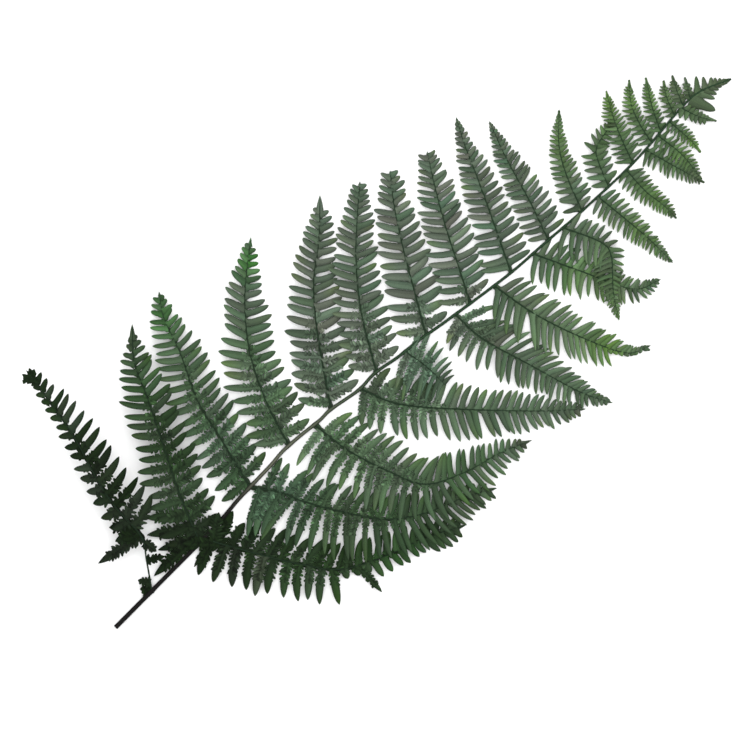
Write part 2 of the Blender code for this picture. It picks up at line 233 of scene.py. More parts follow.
LEFT_PINNAE = [
    Pinna("left_1", [(151, 590), (147, 560), (142, 536), (117, 507), (98, 478), (76, 437), (52, 402),
                     (28, 370)], 17, 11.5, 23, bare=0.22, blunt=0.1, middle_height=15, tip_height=17,
          lobed=0.75, webbed=0.16, sharp=0.5, slim=0.86),
    Pinna("left_2", [(196, 537), (181, 497), (165, 449), (146, 392), (135, 362), (133, 324)], 22,
          19, 19, stipe_taper=(5, 1.6), apex_taper=(6, 1.4), stipe_lean=92, stipe_lean_fall=34,
          middle_height=8, tip_height=11, lobed=0.74, sharp=0.2,
          slim=0.95, tip=0.07),
    Pinna("left_3", [(246, 483), (223, 442), (198, 401), (180, 352), (164, 318), (159, 291)], 22,
          20, 19.5, stipe_taper=(3.4, 0.8), apex_taper=(3.2, 0.8), stipe_lean=102, stipe_lean_fall=44,
          middle_height=4, tip_height=1.5, lobed=0.68, sharp=0.25, slim=0.95),
    Pinna("left_4", [(288, 444), (266, 401), (250, 353), (245, 305), (247, 270), (251, 237)], 22,
          21, 20, stipe_lean=78, stipe_lean_fall=30, apex_lean=88, lobed=0.56, sharp=0.25),
    Pinna("left_5", [(330, 407), (322, 361), (315, 313), (314, 277), (319, 240), (320, 195)], 22, 20.5, 19,
          apex_taper=(3, 0.8), lobed=0.5, sharp=0.2, tip=0.1),
    Pinna("left_6", [(375, 370), (361, 311), (356, 260), (357, 222), (360, 181)], 22, 17.5, 17.5, blunt=0.18,
          lobed=0.42, sharp=0.12),
    Pinna("left_7", [(424, 333), (413, 286), (403, 248), (394, 205), (390, 170)], 18, 18, 17, blunt=0.24,
          lobed=0.24, sharp=0.1),
    Pinna("left_8", [(469, 301), (458, 265), (445, 225), (434, 183), (427, 151)], 20, 17, 16.5, blunt=0.26,
          lobed=0.14, sharp=0.1),
    Pinna("left_9", [(511, 271), (495, 227), (477, 177), (465, 146), (456, 117)], 22, 16, 15.5,
          stipe_taper=(2.2, 0.9), apex_taper=(2.1, 0.9), sharp=0.15),
    Pinna("left_10", [(549, 240), (530, 202), (508, 162), (489, 121)], 22, 13.5, 15,
          stipe_taper=(2.1, 0.9), apex_taper=(1.9, 0.95), sharp=0.15),
    Pinna("left_11", [(582, 210), (567, 177), (559, 147), (559, 109)], 20, 11.5, 10.5,
          stipe_taper=(1.8, 0.95), apex_taper=(1.8, 0.95), webbed=0.3, sharp=0.3, tip=0.08),
    Pinna("left_12", [(609, 187), (599, 164), (596, 150), (603, 136), (617, 119)], 12, 10.5, 9.5, webbed=0.3,
          tip=0.12),
    Pinna("left_13", [(630, 158), (620, 136), (611, 111), (606, 90)], 18, 9.5, 9.5, apex_taper=(1.8, 0.9),
          middle_height=2.8, webbed=0.38, sharp=0.25, slim=0.88, tip=0.14),
    Pinna("left_14", [(651, 143), (640, 125), (631, 104), (629, 79)], 16, 8, 6.5, apex_taper=(2, 0.9),
          webbed=0.42, sharp=0.25, slim=0.88, tip=0.18),
    Pinna("left_15", [(663, 132), (652, 107), (645.5, 77)], 14, 7, 5.5, apex_taper=(1.9, 0.9), webbed=0.45,
          sharp=0.25, slim=0.88, tip=0.2),
    Pinna("left_16", [(674, 117), (666, 96), (663.5, 80)], 10, 6, 4.5,
          webbed=0.5, sharp=0.25, slim=0.88, tip=0.28),
    Pinna("left_17", [(682, 106), (676, 89), (672, 75)], 9, 5.5, 4.2, apex_taper=(1.9, 0.9), webbed=0.65,
          sharp=0.2, tip=0.3),
    Pinna("left_18", [(691, 99), (687.5, 88), (684.5, 77)], 6, 3.8, 3, webbed=0.7, sharp=0.2, tip=0.45),
]

RIGHT_PINNAE = [
    Pinna("right_1", [(198, 534), (240, 549), (300, 564), (342, 569), (385, 556), (425, 538),
                      (466, 525)], 25, 24.5, 20, blunt=0.2, stipe_lean=94, stipe_lean_fall=34,
          tucked=((0.5, 0.63, 0.3), (0.63, 0.82, 0.62)), lobed=0.75, sharp=0.35),
    Pinna("right_2", [(250, 487), (280, 492), (300, 500), (335, 510), (385, 519), (425, 513), (465, 497),
                      (497, 488)], 29, 30, 19.5, bare=0.035, blunt=0.1, stipe_lean=106, stipe_lean_fall=54,
          middle_height=3.6, lobed=0.68, sharp=0.3),
    Pinna("right_3", [(315, 425), (348, 450), (386, 470), (425, 484), (465, 472), (500, 453),
                      (532, 440)], 28, 28, 22, bare=0.03, stipe_lean=88, middle_height=3.0, lobed=0.58,
          sharp=0.3, slim=0.96),
    Pinna("right_4", [(405, 350), (428, 368), (445, 385)], 8, 24, 19, blunt=0.3, apex_lean=104,
          middle_height=5, tip_height=5, lobed=0.8),
    Pinna("right_5", [(360, 389), (399, 404), (457, 409), (538, 411), (586, 409)], 28, 21.5, 18, blunt=0.1,
          lobed=0.42, sharp=0.3),
    Pinna("right_6", [(455, 316), (483, 339), (530, 365), (580, 392), (613, 403)], 26, 19, 22,
          apex_taper=(2.0, 0.9), apex_lean=64, lobed=0.28, sharp=0.35),
    Pinna("right_7", [(493, 287), (538, 316), (590, 341), (628, 353), (651, 345)], 26, 22, 17.5,
          apex_taper=(2.6, 1.0), stipe_lean=66, apex_lean=70, tucked=((0.74, 0.95, 0.3),), webbed=0.1),
    Pinna("right_8", [(534, 254), (580, 271), (633, 289), (661, 279)], 22, 17.5, 13.5, webbed=0.12),
    Pinna("right_9", [(563, 229), (600, 242), (611, 256), (613, 290), (619, 321)], 22, 20, 12,
          stipe_taper=(1.3, 0.8), apex_taper=(1.3, 0.8), middle_height=3.4, webbed=0.12),
    Pinna("right_10", [(598, 199), (630, 223), (651, 241), (673, 263)], 20, 11.5, 10.5,
          apex_taper=(1.7, 0.9), webbed=0.16),
    Pinna("right_11", [(625, 172), (645, 191), (664, 206), (677, 219)], 16, 9.5, 9, webbed=0.4, tip=0.1),
    Pinna("right_12", [(646, 150), (670, 164), (705, 183)], 15, 9.5, 8,
          webbed=0.36, sharp=0.3, slim=0.86, tip=0.12),
    Pinna("right_13", [(659, 135), (682, 155), (702, 180)], 14, 8, 7.5,
          webbed=0.36, sharp=0.3, slim=0.86, tip=0.14),
    Pinna("right_14", [(670, 122), (690, 140), (701, 153)], 12, 6, 5.5,
          webbed=0.42, sharp=0.3, slim=0.86, tip=0.28),
    Pinna("right_15", [(682, 109), (699, 117), (717, 121)], 9, 6, 4.5, webbed=0.7, sharp=0.3, tip=0.42),
]

# Lone pinnules: their pinna, share along its costa, tip in pixels, width and rise of the tip in millimetres
STRAY_PINNULES = [
    ("left_1", 0.22, (99, 563), 9, 0),
    ("left_1", 0.27, (110, 527), 9, 0),
    ("left_1", 0.24, (116, 541), 9, 0),
    ("left_1", 0.19, (157, 551), 7, 0),
    ("left_1", 0.03, (138, 580), 6, 0),
    ("left_1", 0.01, (140, 589), 6.5, 0),
    ("left_1", 0.005, (143, 597), 5.5, 0),
    ("left_1", 0.93, (24, 374), 5.5, 0),
    ("left_1", 0.955, (24, 381), 5, 0),
    ("left_1", 0.945, (31, 368), 5, 0),
    ("left_1", 0.12, (165, 556), 6, 0),
    ("left_2", 0.03, (154, 576), 9.5, 0),
    ("left_2", 0.02, (158, 550), 8, 0),
    ("left_2", 0.07, (147, 535), 9, 0),
    ("left_2", 0.13, (146, 518), 9, 0),
    ("right_1", 0.06, (183, 543), 9, 1.8),
    ("right_1", 0.04, (219, 512), 9, 2.5),
    ("right_1", 0.01, (189, 527), 9, 2.0),
    ("right_1", 0.03, (194, 567), 5, 0),
    ("right_1", 0.58, (382, 592), 6, 0),
]

# The simple leaflets past the last divided pinnae: root and tip in pixels, width in millimetres
LEAFLETS = [
    ((690, 99.5), (715.5, 110.5), 6.4),
    ((698, 96), (696, 76), 3.4),
    ((705.5, 90), (703, 76.5), 3.1),
    ((711, 87), (711, 77), 2.9),
    ((715.5, 85), (715, 77.5), 2.7),
    ((720, 83.5), (719.5, 78), 2.4),
    ((723.5, 82), (724, 78.5), 2.1),
    ((699, 93), (715, 99), 3.6),
    ((705, 89.5), (717, 94.5), 3.1),
    ((710, 87), (719, 90), 2.8),
    ((715, 85), (722, 87), 2.4),
    ((719, 83.5), (725, 84.5), 2.1),
    ((724, 82), (731, 79), 2.3),
]

# Colours as the eye reads them, red green blue out of 255
DEEP_GREEN = (15, 29, 9)
DARK_GREEN = (34, 54, 28)
MAIN_GREEN = (70, 92, 67)
TEAL_GREY = (71, 95, 76)
BROWN_GREY = (90, 91, 83)
DUSK_GREY = (73, 79, 65)
LIGHT_GREEN = (76, 101, 63)
PALE_GREEN = (108, 130, 98)
YELLOW_GREEN = (98, 134, 46)
VIVID_GREEN = (46, 106, 32)
RIB_GREEN = (30, 52, 32)
WITHERED = (38, 32, 28)
STIPE_BLACK = (11, 9, 8)
RACHIS_GREY = (74, 77, 64)

# Leaf colours are taken this much darker, because the light is strong enough to bleach the floor
LEAF_DEPTH = 0.82
TINT_SPREAD = 0.15
PATCH_SPREAD = (0.5, 1.15)

# Where the frond's colour changes, as metres along it, shares of its lightness or shares of the rachis
LIGHTER_WITH_ACROSS = 0.25
LIGHTENS = (40 * MM, 230 * MM)
DEEP_TO_DARK = (0.0, 0.35)
DARK_TO_MAIN = (0.25, 0.95)
MAIN_TO_LIGHT = (330 * MM, 470 * MM)
LIGHT_SHARE = 0.55
GREY_BEGINS = (130 * MM, 220 * MM)
GREY_ENDS = (350 * MM, 430 * MM)
GREY_ON_RIGHT = 0.35
GREY_ON_LEFT = 0.75
GREY_TURN = 30 * MM
GREY_USUAL = 0.08
GREY_SPREAD = 0.15
GREY_BY_STIPE = 0.45
BROWN_USUAL = 0.5
BROWN_SPREAD = 0.19
STIPE_TO_GREY = (0.19, 0.27)
GREY_TO_GREEN = (0.26, 0.5)
RIB_BY_STIPE = 0.5

# Some pinnules are yellower towards their tips: the share of the way, and the tint there
RIPE_FROM = 0.3
RIPE_ON_LEFT = 0.0
RIPE_ON_RIGHT = 0.2
RIPE_SPREAD = 0.4
RIPE_TINT = np.array([1.12, 1.2, 0.68])

# Patches that stand out: middle in pixels, radius in pixels, colour, strength
COLOUR_PATCHES = [
    ((246, 262), 17, VIVID_GREEN, 0.85),
    ((606, 104), 26, YELLOW_GREEN, 0.42),
    ((608, 337), 24, YELLOW_GREEN, 0.60),
    ((590, 288), 34, YELLOW_GREEN, 0.30),
    ((560, 148), 30, YELLOW_GREEN, 0.25),
    ((396, 548), 26, VIVID_GREEN, 0.45),
    ((360, 424), 26, VIVID_GREEN, 0.35),
    ((460, 458), 40, VIVID_GREEN, 0.30),
    ((400, 425), 14, VIVID_GREEN, 0.40),
    ((160, 316), 24, VIVID_GREEN, 0.45),
    ((159, 298), 10, DARK_GREEN, 0.55),
    ((183, 492), 26, MAIN_GREEN, 0.35),
    ((124, 395), 20, VIVID_GREEN, 0.35),
    ((560, 285), 34, VIVID_GREEN, 0.30),
    ((585, 365), 26, VIVID_GREEN, 0.25),
    ((36, 380), 16, DEEP_GREEN, 0.75),
    ((133, 333), 15, WITHERED, 0.80),
    ((526, 444), 10, WITHERED, 0.60),
    ((581, 409), 12, WITHERED, 0.50),
    ((677, 213), 9, WITHERED, 0.60),
    ((442, 382), 10, WITHERED, 0.50),
    ((702, 181), 9, WITHERED, 0.45),
    ((435, 530), 42, DARK_GREEN, 0.70),
    ((478, 492), 30, DARK_GREEN, 0.65),
    ((712, 96), 26, DUSK_GREY, 0.65),
    ((238, 410), 12, VIVID_GREEN, 0.30),
    ((262, 345), 16, VIVID_GREEN, 0.25),
    ((298, 345), 14, VIVID_GREEN, 0.25),
    ((629, 82), 8, DUSK_GREY, 0.70),
    ((673, 92), 15, DUSK_GREY, 0.65),
    ((724, 81), 13, WITHERED, 0.45),
    ((633, 104), 12, YELLOW_GREEN, 0.18),
    ((649, 98), 12, YELLOW_GREEN, 0.20),
    ((661, 98), 11, YELLOW_GREEN, 0.20),
    ((690, 148), 13, YELLOW_GREEN, 0.45),
    ((656, 196), 20, YELLOW_GREEN, 0.22),
    ((694, 178), 12, DUSK_GREY, 0.60),
    ((640, 234), 24, YELLOW_GREEN, 0.25),
    ((280, 498), 34, TEAL_GREY, 0.60),
    ((215, 448), 28, TEAL_GREY, 0.50),
    ((468, 502), 26, DUSK_GREY, 0.35),
    ((545, 318), 38, PALE_GREEN, 0.35),
    ((350, 445), 34, PALE_GREEN, 0.12),
    ((592, 284), 28, PALE_GREEN, 0.15),
    ((362, 562), 60, DARK_GREEN, 0.45),
    ((440, 520), 46, DARK_GREEN, 0.30),
    ((425, 372), 26, TEAL_GREY, 0.80),
    ((603, 278), 13, DARK_GREEN, 0.55),
    ((208, 541), 24, DEEP_GREEN, 0.55),
    ((172, 534), 20, DEEP_GREEN, 0.60),
]

# Markings, finish, and painted light and shade of the blades and the stalk
MARKING_REPEAT = 50
SIDE_VEIN_SLANT = -1.3
SIDE_VEIN_RATE = 7.0
SIDE_VEIN_RELIEF = 0.35
FINE_NOISE = {"Scale": 800.0, "Detail": 4.0, "Roughness": 0.65}
BROAD_NOISE = {"Scale": 70.0, "Detail": 2.0}
NOISE_RANGE = (0.3, 0.7)
FINE_MOTTLE = (0.5, 1.5)
BROAD_MOTTLE = (0.9, 1.1)
MIDVEIN_EDGE = (0.04, 0.14)
MIDVEIN_SHARE = (0.30, 0.0)
MIDVEIN_TINT = (1.35, 1.4, 1.15)
# Painted shade: each blade is darker towards its edges, between crowded pinnules and lobes
EDGE_PAINTED_SHADE_REACH = (0.55, 1.0)
EDGE_PAINTED_SHADE = (1.1, 0.58)
# Painted light: one half of each blade, across its midvein, is lighter than the other
PAINTED_HALVES_ACROSS = (-0.3, 0.3)
PAINTED_HALVES_LIGHT = (0.86, 1.12)
BLADE_BUMP = {"Strength": 0.35, "Distance": 0.00012}
BLADE_ROUGHNESS = (0.50, 0.66)
BLADE_SPECULAR = 0.06
LINE_STRETCH = (0.12, 3.0, 1.0)
LINE_NOISE = {"Scale": 3.0, "Detail": 4.0}
LINE_SHADE = (0.7, 1.3)
# Painted light and shade: the stalk is lighter along its top and darker down its sides
STALK_PAINTED_SIDE_RANGE = (0.2, 0.8)
STALK_PAINTED_SIDE_SHADE = (1.3, 0.4)
STALK_BUMP = {"Strength": 0.4, "Distance": 0.0002}
STALK_ROUGHNESS = 0.55
STALK_SPECULAR = 0.1

# Stage, light and camera
FLOOR_SIZE = 4.0
FLOOR_COLOUR = 0.93
FLOOR_ROUGHNESS = 0.95
WORLD_STRENGTH = 1.32
KEY_POWER = 18.0
KEY_SIZE = 3.0
KEY_PLACE = (0.8, 0.6, 1.7)
CAMERA_HEIGHT = 3.0
SENSOR_WIDTH = 36.0


def linear(colour):
    """Turn a colour the eye reads into the renderer's linear values."""
    shares = np.array(colour, float) / 255
    return np.where(shares <= 0.04045, shares / 12.92, ((shares + 0.055) / 1.055) ** 2.4)


def mix(start, end, share):
    return start + (end - start) * share


def smooth_share(value, low, high):
    share = min(max((value - low) / (high - low), 0.0), 1.0)
    return share * share * (3 - 2 * share)


def plan_point(pixel):
    """Turn a photograph pixel into metres along and across the frond."""
    axis = Vector((APEX[0] - CUT_END[0], CUT_END[1] - APEX[1]))
    scale = FROND_LENGTH / axis.length
    axis.normalize()
    offset = Vector((pixel[0] - CUT_END[0], CUT_END[1] - pixel[1])) * scale
    along = offset.dot(axis)
    across = offset.dot(Vector((-axis.y, axis.x)))
    return Vector((along, across)) - PLAN_CENTRE


def pixel_size():
    """Metres to one photograph pixel."""
    return FROND_LENGTH / math.dist(CUT_END, APEX)


class Route:
    """A smooth plan curve through a few points, read by the distance along it."""

    def __init__(self, corners):
        before = corners[0] * 2 - corners[1]
        after = corners[-1] * 2 - corners[-2]
        padded = [before, *corners, after]
        self.points = []
        for previous, start, end, following in zip(padded, padded[1:], padded[2:], padded[3:]):
            for step in range(CURVE_STEPS):
                share = step / CURVE_STEPS
                self.points.append(self.between(previous, start, end, following, share))
        self.points.append(corners[-1])
        self.distances = [0.0]
        for here, ahead in zip(self.points, self.points[1:]):
            self.distances.append(self.distances[-1] + (ahead - here).length)
        self.length = self.distances[-1]

    @staticmethod
    def between(previous, start, end, following, share):
        """The Catmull-Rom curve from start to end."""
        start_pull = (end - previous) * 0.5
        end_pull = (following - start) * 0.5
        square, cube = share ** 2, share ** 3
        return (start * (2 * cube - 3 * square + 1) + start_pull * (cube - 2 * square + share)
                + end * (3 * square - 2 * cube) + end_pull * (cube - square))

    def point(self, distance):
        distance = min(max(distance, 0.0), self.length)
        index = min(bisect_right(self.distances, distance), len(self.points) - 1) - 1
        span = self.distances[index + 1] - self.distances[index]
        share = (distance - self.distances[index]) / span
        return mix(self.points[index], self.points[index + 1], share)

    def heading(self, distance):
        ahead, behind = self.point(distance + HEADING_REACH), self.point(distance - HEADING_REACH)
        return (ahead - behind).normalized()

    def bend(self, distance, reach):
        """How sharply the route turns left around a place, in radians a metre."""
        before = self.heading(distance - reach)
        after = self.heading(distance + reach)
        return math.atan2(before.cross(after), before.dot(after)) / (2 * reach)

    def nearest_distance(self, place):
        gaps = [(point - place).length for point in self.points]
        return self.distances[gaps.index(min(gaps))]


def rachis_radius(share):
    return mix(STIPE_RADIUS, APEX_RADIUS, share ** RACHIS_TAPER_POWER)


class Surface:
    """Collects points, faces, and for each point a colour and a place on its pinnule."""

    def __init__(self):
        self.points = []
        self.faces = []
        self.colours = []
        self.places = []
        self.count = 0

    def add(self, points, faces, colour, places):
        self.points.append(points)
        self.faces.append(faces + self.count)
        tints = np.broadcast_to(colour, (len(points), 3))
        self.colours.append(np.column_stack([tints, np.ones(len(points))]))
        self.places.append(places)
        self.count += len(points)

    def build(self, name, material):
        points = np.concatenate(self.points)
        faces = np.concatenate(self.faces)
        mesh = bpy.data.meshes.new(name)
        mesh.vertices.add(len(points))
        mesh.vertices.foreach_set("co", points.astype(np.float32).ravel())
        mesh.loops.add(faces.size)
        mesh.loops.foreach_set("vertex_index", faces.astype(np.int32).ravel())
        mesh.polygons.add(len(faces))
        mesh.polygons.foreach_set("loop_start", np.arange(0, faces.size, 4, dtype=np.int32))
        mesh.update(calc_edges=True)
        mesh.validate()
        tint = mesh.color_attributes.new("tint", "FLOAT_COLOR", "POINT")
        tint.data.foreach_set("color", np.concatenate(self.colours).astype(np.float32).ravel())
        places = np.concatenate(self.places)
        corners = mesh.uv_layers.new(name="pinnule")
        used = np.empty(len(mesh.loops), np.int32)
        mesh.loops.foreach_get("vertex_index", used)
        corners.data.foreach_set("uv", places[used].astype(np.float32).ravel())
        mesh.shade_smooth()
        mesh.set_sharp_from_angle(angle=math.radians(SHARP_EDGE_ANGLE))
        mesh.materials.append(material)
        made = bpy.data.objects.new(name, mesh)
        bpy.context.scene.collection.objects.link(made)
        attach(made, "root")
        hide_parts(NODE)


def strip_faces(rows, columns, first, flip=False):
    """The quads of a grid of points whose rows follow each other."""
    row, column = np.meshgrid(np.arange(rows - 1), np.arange(columns - 1), indexing="ij")
    low = (first + row * columns + column).ravel()
    corners = [low, low + 1, low + columns + 1, low + columns]
    if flip:
        corners.reverse()
    return np.stack(corners, -1)


def sheet_faces(rows, count, cap):
    """The quads of a thin closed sheet: count points in each row on top, and three in each row under it."""
    first_lower = rows * count
    index = np.arange(rows - 1)
    left_top, left_low = index * count, first_lower + index * UNDER_COLUMNS
    right_top, right_low = left_top + count - 1, left_low + UNDER_COLUMNS - 1
    faces = [strip_faces(rows, count, 0, flip=True), strip_faces(rows, UNDER_COLUMNS, first_lower),
             np.stack([left_top, left_top + count, left_low + UNDER_COLUMNS, left_low], -1),
             np.stack([right_top, right_low, right_low + UNDER_COLUMNS, right_top + count], -1)]
    for row, turn in ((0, 1), (rows - 1, -1)):
        first = {"t": row * count, "u": first_lower + row * UNDER_COLUMNS}
        faces.append(np.array([[first[corner[0]] + int(corner[1]) for corner in quad.split()][::turn]
                               for quad in cap]))
    return np.concatenate(faces)


def tongue_outline(along, length, form, lobed_to):
    """A pinnule's half width from root to tip, as a share of its widest. It narrows between lobes."""
    late, fast = [mix(blunt, pointed, form["sharp"]) for blunt, pointed in zip(BLUNT_TIP, POINTED_TIP)]
    tip = np.clip(1 - along ** late, 0, 1) ** fast
    waist = (1 - LOBED_WAIST) * np.clip((lobed_to - along) / WAIST_FADE, 0, 1)
    flare = ROOT_FLARE * np.exp(-(along * length / max(form["web"], ROOT_FLARE_LENGTH)) ** 4)
    return np.maximum((1 - BLADE_WIDENING + BLADE_WIDENING * along + flare - waist) * tip, LEAST_BLADE_WIDTH)


def lobe_outline(along):
    """A round lobe's half width from root to tip."""
    roundness = np.sqrt(np.clip(1 - along ** LOBE_ROUNDNESS, 0, 1))
    return np.maximum((1 - LOBE_WIDENING + LOBE_WIDENING * along) * roundness, LEAST_LOBE_WIDTH)


def add_blade(surface, root, heading, length, half_width, outline, height_at, look, fine=True):
    """A thin closed blade, crowned each side of its midvein, with rolled-down edges.

    heading is its first direction in radians, outline gives its half width along it as a share of
    half_width, and look holds its bow, twist, lift and colour, with the painted shade that darkens its
    root and the tint of its tip.
    """
    columns = FINE_COLUMNS if fine else COARSE_COLUMNS
    rows = max(int(PLAIN_ROWS * min(length / LONG_BLADE, 1.0)), LEAST_ROWS) if fine else LOBE_ROWS
    even = np.linspace(0, 1, rows)
    along = even * (ROOT_ROW_STEP - (ROOT_ROW_STEP - 1) * even)
    angle = heading - math.radians(look["bow"]) * along
    step = np.diff(along) * length
    middle_angle = (angle[1:] + angle[:-1]) / 2
    centre_x = root.x + np.concatenate([[0], np.cumsum(np.cos(middle_angle) * step)])
    centre_y = root.y + np.concatenate([[0], np.cumsum(np.sin(middle_angle) * step)])
    reach = half_width * outline(along)
    column = columns[None, :]
    across = reach[:, None] * column
    x = centre_x[:, None] - np.sin(angle)[:, None] * across
    y = centre_y[:, None] + np.cos(angle)[:, None] * across
    width_share = np.minimum(reach / half_width, 1.0)[:, None]
    relief = look["crown"] * width_share * (1 - np.abs(column) ** CROWN_POWER)
    relief = relief - VEIN_GROOVE * width_share * np.exp(-(column / VEIN_WIDTH) ** 2)
    relief = relief + across * math.tan(math.radians(look["twist"])) + look["lift"] * along[:, None]
    ground = height_at(x, y)
    top = np.maximum(ground + relief - CROWN / 2, BLADE_THICKNESS)
    count = len(columns)
    upper = np.stack([x, y, top], -1).reshape(-1, 3)
    under_columns = [0, count // 2, count - 1]
    lower = np.stack([x[:, under_columns], y[:, under_columns],
                      top[:, under_columns] - BLADE_THICKNESS], -1).reshape(-1, 3)
    start = surface.count % MARKING_REPEAT
    places = np.stack([np.broadcast_to(start + along[:, None] * length / MM, x.shape),
                       np.broadcast_to(column, x.shape)], -1)
    under_places = places[:, under_columns].reshape(-1, 2)
    # Painted shade darkens the blade towards its root; some tips are yellower
    painted_darkness = look.get("root_shade", 0.0) * np.clip(1 - along / ROOT_PAINTED_SHADE_REACH, 0, 1)
    ripeness = np.clip((along - RIPE_FROM) / (1 - RIPE_FROM), 0, 1)
    tones = look["colour"] * (1 - painted_darkness[:, None])
    tones = tones * mix(1.0, look.get("tip_tint", np.ones(3)), ripeness[:, None])
    surface.add(np.concatenate([upper, lower]), sheet_faces(rows, count, FINE_CAP if fine else COARSE_CAP),
                np.concatenate([np.repeat(tones, count, axis=0), np.repeat(tones, UNDER_COLUMNS, axis=0)]),
                np.concatenate([places.reshape(-1, 2), under_places]))


def add_pinnule(surface, root, heading, length, form, height_at, look, source, lobed_to=0.0):
    """A pinnule: a smooth tongue, with round lobes on both sides of its inner part where it has them.

    form holds the pitch of the pinnules, the length of the web that joins it to them, how sharp it ends
    and, where it isn't the usual, how slim it is.
    """
    pitch = form["pitch"]

    def tongue(along):
        return tongue_outline(along, length, form, lobed_to)

    half_width = pitch * BLADE_WIDTH_SHARE * form.get("slim", 1.0)
    add_blade(surface, root, heading, length, half_width, tongue, height_at, look)
    lobes = round(length * lobed_to / LOBE_PITCH)
    for index in range(lobes):
        for hand in (1, -1):
            along = lobed_to * (index + LOBE_START + LOBE_STAGGER * max(hand, 0)) / lobes
            turn = math.radians(look["bow"]) * along
            middle = heading - turn / 2
            place = root + Vector((math.cos(middle), math.sin(middle))) * along * length
            reach = pitch * mix(LOBE_REACH_AT_COSTA, LOBE_REACH_AT_END, along / lobed_to)
            reach *= math.exp(source.gauss(0, LOBE_REACH_SPREAD))
            lean = math.radians(LOBE_LEAN + source.gauss(0, LOBE_LEAN_SPREAD))
            lobe_look = {"bow": hand * LOBE_BOW, "twist": source.gauss(0, LOBE_TWIST_SPREAD),
                         "crown": LOBE_CROWN, "lift": source.gauss(0, LOBE_LIFT_SPREAD),
                         "root_shade": LOBE_ROOT_PAINTED_SHADE}
            lightness = math.exp(source.gauss(LOBE_LIGHTNESS, LOBE_LIGHTNESS_SPREAD))
            lobe_look["colour"] = look["colour"] * lightness
            add_blade(surface, place, heading - turn + hand * lean, reach, LOBE_HALF_WIDTH, lobe_outline,
                      height_at, lobe_look, fine=False)


def tint_at(place, random_source):
    """The frond's colour at a plan place: darkest by the stipe, greyer in the middle, lighter to the apex."""
    along = place.x + PLAN_CENTRE.x
    across = place.y + PLAN_CENTRE.y
    lightness = smooth_share(along + LIGHTER_WITH_ACROSS * across, *LIGHTENS)
    colour = mix(linear(DEEP_GREEN), linear(DARK_GREEN), smooth_share(lightness, *DEEP_TO_DARK))
    colour = mix(colour, linear(MAIN_GREEN), smooth_share(lightness, *DARK_TO_MAIN))
    colour = mix(colour, linear(LIGHT_GREEN), LIGHT_SHARE * smooth_share(along, *MAIN_TO_LIGHT))
    greyness = smooth_share(along, *GREY_BEGINS) * (1 - smooth_share(along, *GREY_ENDS))
    greyness *= mix(GREY_ON_RIGHT, GREY_ON_LEFT, smooth_share(across, -GREY_TURN, GREY_TURN))
    grey_share = min(max(greyness + random_source.gauss(GREY_USUAL, GREY_SPREAD), 0.0), 1.0)
    brown_share = min(max(random_source.gauss(BROWN_USUAL, BROWN_SPREAD), 0.0), 1.0)
    grey = mix(linear(TEAL_GREY), linear(BROWN_GREY), brown_share)
    colour = mix(colour, grey * mix(GREY_BY_STIPE, 1.0, lightness), grey_share)
    for middle, radius, patch_colour, strength in COLOUR_PATCHES:
        gap = (place - plan_point(middle)).length / (radius * pixel_size())
        share = strength * math.exp(-gap ** 2) * random_source.uniform(*PATCH_SPREAD)
        colour = mix(colour, linear(patch_colour), min(share, 1.0))
    return colour * LEAF_DEPTH * math.exp(random_source.gauss(0.0, TINT_SPREAD))


class PinnaForm:
    """Where everything on one pinna goes, by the distance along its costa."""

    def __init__(self, pinna, rachis, side):
        root = plan_point(pinna.route[0])
        self.station = rachis.nearest_distance(root)
        corners = [rachis.point(self.station)] + [plan_point(pixel) for pixel in pinna.route[1:]]
        self.pinna = pinna
        self.side = side
        self.route = Route(corners)
        self.length = self.route.length
        self.root_height = rachis_radius(self.station / rachis.length) + SOLID_THICKNESS / 2
        self.pitch = self.length * (1 - pinna.bare) / pinna.pairs

    def costa_height(self, share):
        middle = self.pinna.middle_height * MM
        tip = self.pinna.tip_height * MM
        pull = 2 * middle - (self.root_height + tip) / 2
        rest = 1 - share
        return rest ** 2 * self.root_height + 2 * share * rest * pull + share ** 2 * tip

    def height(self, share, across):
        """Top height of the blade: across is the distance to the left of the costa."""
        sag = EDGE_SAG * np.minimum(np.abs(across) / SAG_WIDTH, 1.0)
        return self.costa_height(share) + ROLL_SLOPE * across * self.side - sag

    def reach(self, distance, hand):
        """Length of the pinnule on one hand of the costa: +1 is its left, -1 its right."""
        share = distance / self.length
        pinna = self.pinna
        longest = pinna.stipe_side if hand == self.side else pinna.apex_side
        late, fast = pinna.stipe_taper if hand == self.side else pinna.apex_taper
        taper = max(1 - share ** late, 0.0) ** fast
        reach = longest * MM * mix(taper, 1.0, pinna.blunt)
        if hand == self.side:
            for folds_from, folds_to, shown in pinna.tucked:
                if folds_from < share < folds_to:
                    reach *= shown
        bend = self.route.bend(distance, self.pitch * 2) * hand
        if bend > 0:
            reach = min(reach, INSIDE_BEND_REACH / bend)
        return reach

    def lean(self, distance, hand):
        share = distance / self.length
        if hand == self.side:
            return self.pinna.stipe_lean - self.pinna.stipe_lean_fall * share
        return self.pinna.apex_lean - LEAN_FALL * share


